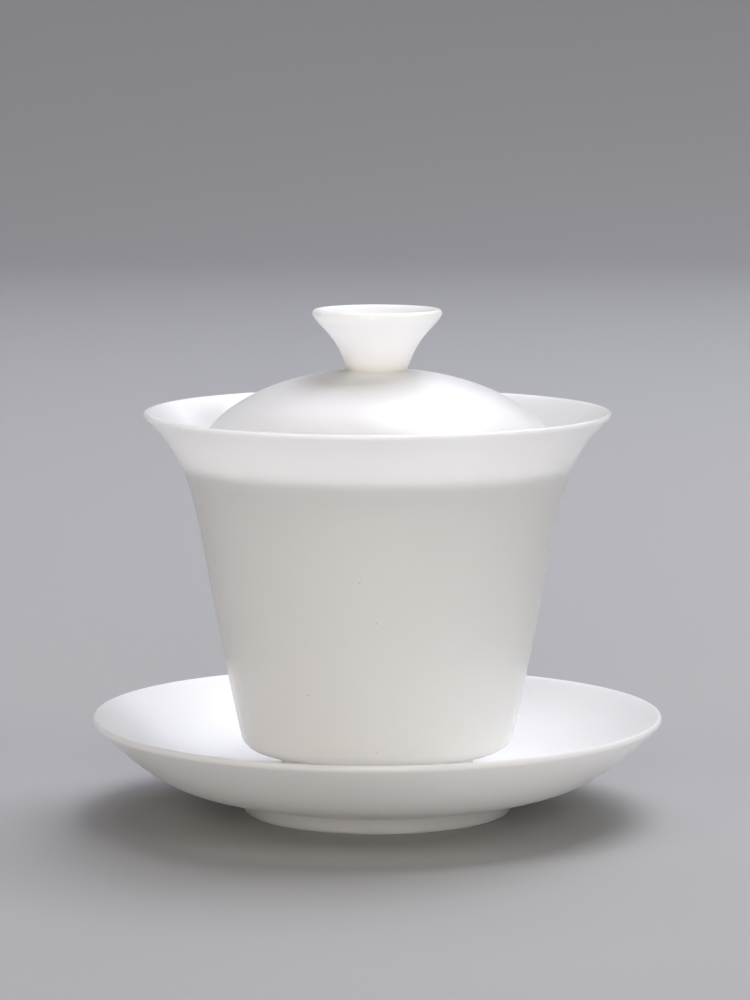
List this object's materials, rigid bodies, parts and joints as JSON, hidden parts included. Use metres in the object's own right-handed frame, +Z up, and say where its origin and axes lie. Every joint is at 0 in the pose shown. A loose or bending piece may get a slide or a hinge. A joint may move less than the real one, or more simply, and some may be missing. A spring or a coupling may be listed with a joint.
{
  "type": "gaiwan",
  "caption": "Lidded tea bowl with a flared lip, standing on a dished saucer, in glazed white porcelain. The lid has a hollow trumpet knob.",
  "frame": {"origin": "centre of the saucer's foot ring, on the surface that it stands on", "axes": "+Z up, the common axis of saucer, bowl and lid; X and Y are alike, because every piece is round"},
  "size_m": [0.1138, 0.1138, 0.1007],
  "materials": {
    "porcelain": "satin clear glaze on fine white translucent porcelain"
  },
  "bodies": {
    "saucer": {"saucer": "porcelain"},
    "bowl": {"bowl": "porcelain"},
    "lid": {"lid": "porcelain"}
  },
  "joints": [
    {"name": "bowl_lift", "type": "slide", "parent": "saucer", "child": "bowl", "axis": [0, 0, 1], "range_m": [0, 0.06]},
    {"name": "lid_lift", "type": "slide", "parent": "bowl", "child": "lid", "axis": [0, 0, 1], "range_m": [0, 0.05]}
  ]
}
